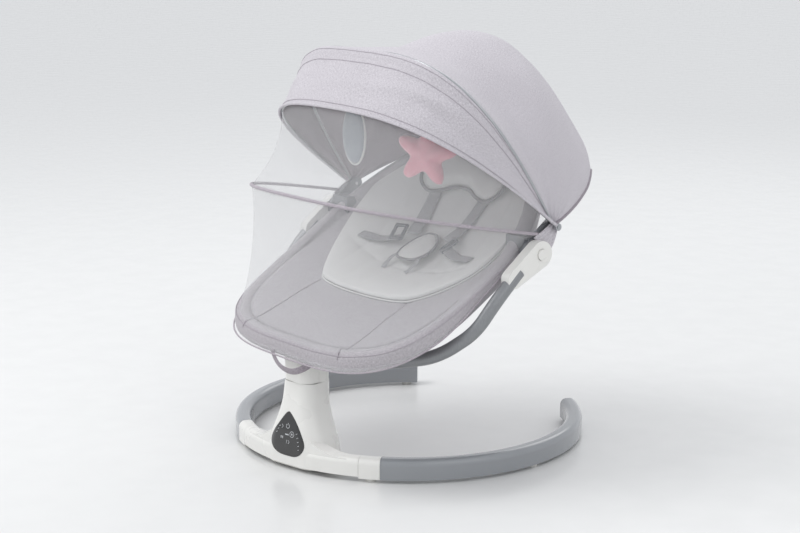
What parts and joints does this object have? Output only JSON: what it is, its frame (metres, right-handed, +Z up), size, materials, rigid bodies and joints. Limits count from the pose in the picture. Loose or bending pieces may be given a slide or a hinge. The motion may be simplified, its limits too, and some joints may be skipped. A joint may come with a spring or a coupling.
{
  "type": "baby swing",
  "caption": "Powered baby swing: C-shaped floor base, drive tower, seat on two curved arms, folding canopy, mosquito net and hanging toys.",
  "frame": {"origin": "on the floor plane, where the swing's upright axis meets it, on the underside of the tower's foot pad", "axes": "+Z up, +Y to the head end when the seat is centred, +X to the sitting baby's left; the seat rests turned 10 degrees towards +X"},
  "size_m": [0.6373, 0.5961, 0.7023],
  "materials": {
    "white_abs": "smooth glossy",
    "grey_arm": "glossy mid grey",
    "grey_tube": "satin painted steel tube",
    "panel_black": null,
    "rubber_white": "matte",
    "steel": "plain",
    "zinc": "die-cast",
    "pcb_green": "solder mask",
    "black_plastic": "matte",
    "gear_white": "acetal",
    "seat_fabric": "mauve-grey melange weave",
    "canopy_fabric": "pale mauve-grey melange weave",
    "liner_fabric": "off-white brushed cotton",
    "webbing": "grey woven tape",
    "net_mesh": "sheer white mosquito net",
    "net_binding": "wire in mauve binding",
    "plush_pink": "short-pile plush",
    "plush_blue": "short-pile plush",
    "buckle_grey": "moulded"
  },
  "bodies": {
    "base": {"base_chassis": "black_plastic", "tower_shell": "white_abs", "rear_cover": "white_abs", "control_panel": "panel_black", "control_board": "pcb_green", "speaker": "black_plastic", "dc_jack": "black_plastic", "gear_motor": "steel", "gear_frame": "zinc", "bearing_housing": "zinc", "shaft_bearings": "steel", "crank_axle": "steel", "cover_screws": "steel", "frame_screws": "steel", "arm_sleeve_left": "white_abs", "arm_sleeve_right": "white_abs", "arm_joiners": "steel", "base_arm_left": "grey_arm", "base_arm_right": "grey_arm", "arm_end_cap_left": "grey_arm", "arm_end_cap_right": "grey_arm", "rubber_feet": "rubber_white"},
    "motor_pinion": {"motor_pinion": "gear_white"},
    "crank_wheel": {"crank_wheel": "gear_white"},
    "swing": {"swing_shaft": "steel", "swing_lever": "zinc", "collar_front": "white_abs", "collar_rear": "white_abs", "arm_yoke": "zinc", "support_arm_left": "grey_tube", "support_arm_right": "grey_tube", "recline_housing_left": "white_abs", "recline_housing_right": "white_abs", "recline_pins": "steel"},
    "recline_button_left": {"recline_button_left": "white_abs"},
    "recline_button_right": {"recline_button_right": "white_abs"},
    "seat": {"head_tube": "grey_tube", "foot_tube": "grey_tube", "recline_hub_left": "white_abs", "recline_hub_right": "white_abs", "seat_cover": "seat_fabric", "seat_liner": "liner_fabric", "head_pillow": "liner_fabric", "shoulder_straps": "webbing", "waist_straps": "webbing", "crotch_straps": "webbing", "crotch_pad": "liner_fabric", "harness_buckles": "buckle_grey", "canopy_rear_panel": "canopy_fabric"},
    "canopy_mid": {"canopy_mid_bow": "steel"},
    "canopy_front": {"canopy_front_bow": "steel", "canopy_front_panel": "canopy_fabric"},
    "net": {"net_bow": "net_binding", "net_upper": "net_mesh", "net_lower": "net_mesh"},
    "star": {"star_toy": "plush_pink", "star_ribbon": "webbing"},
    "oval": {"oval_toy": "plush_blue", "oval_ribbon": "webbing"}
  },
  "joints": [
    {"name": "swing", "type": "hinge", "parent": "base", "child": "swing", "pos_m": [0, 0, 0.145], "axis": [0, 0, 1], "range_deg": [-5, 25]},
    {"name": "crank_spin", "type": "hinge", "parent": "base", "child": "crank_wheel", "pos_m": [0, -0.026, 0.045], "axis": [0, 0, 1], "range_deg": [-24.07, 118.36]},
    {"name": "pinion_spin", "type": "hinge", "parent": "base", "child": "motor_pinion", "pos_m": [0.0192, -0.026, 0.045], "axis": [0, 0, 1], "range_deg": [-354.57, 71.71]},
    {"name": "recline", "type": "hinge", "parent": "swing", "child": "seat", "pos_m": [0.0455, 0.25802, 0.368], "axis": [0.9848, -0.1736, 0], "range_deg": [-24, 0]},
    {"name": "button_left", "type": "slide", "parent": "swing", "child": "recline_button_left", "axis": [-0.9848, 0.1736, 0], "range_m": [0, 0.003], "stiffness_N_per_m": 400},
    {"name": "button_right", "type": "slide", "parent": "swing", "child": "recline_button_right", "axis": [0.9848, -0.1736, 0], "range_m": [0, 0.003], "stiffness_N_per_m": 400},
    {"name": "canopy_fold", "type": "hinge", "parent": "seat", "child": "canopy_mid", "pos_m": [0.05209, 0.29544, 0.408], "axis": [0.9848, -0.1736, 0], "range_deg": [-70, 0], "deforming": ["canopy_rear_panel", "net_lower"]},
    {"name": "brim_fold", "type": "hinge", "parent": "canopy_mid", "child": "canopy_front", "pos_m": [0.05209, 0.29544, 0.408], "axis": [0.9848, -0.1736, 0], "range_deg": [-13, 0], "deforming": ["canopy_front_panel"]},
    {"name": "net_lift", "type": "hinge", "parent": "canopy_front", "child": "net", "pos_m": [0.05209, 0.29544, 0.408], "axis": [0.9848, -0.1736, 0], "range_deg": [-22, 0], "deforming": ["net_upper"]},
    {"name": "star_dangle", "type": "hinge", "parent": "canopy_mid", "child": "star", "pos_m": [0.1269, 0.15532, 0.664], "axis": [0.9848, -0.1736, 0], "range_deg": [-25, 25]},
    {"name": "oval_dangle", "type": "hinge", "parent": "canopy_mid", "child": "oval", "pos_m": [-0.06612, 0.18936, 0.664], "axis": [0.9848, -0.1736, 0], "range_deg": [-25, 25]}
  ],
  "couplings": [
    {"joint": "crank_spin", "follows": "swing", "ratio": 4.7143},
    {"joint": "pinion_spin", "follows": "swing", "ratio": -14.143}
  ]
}
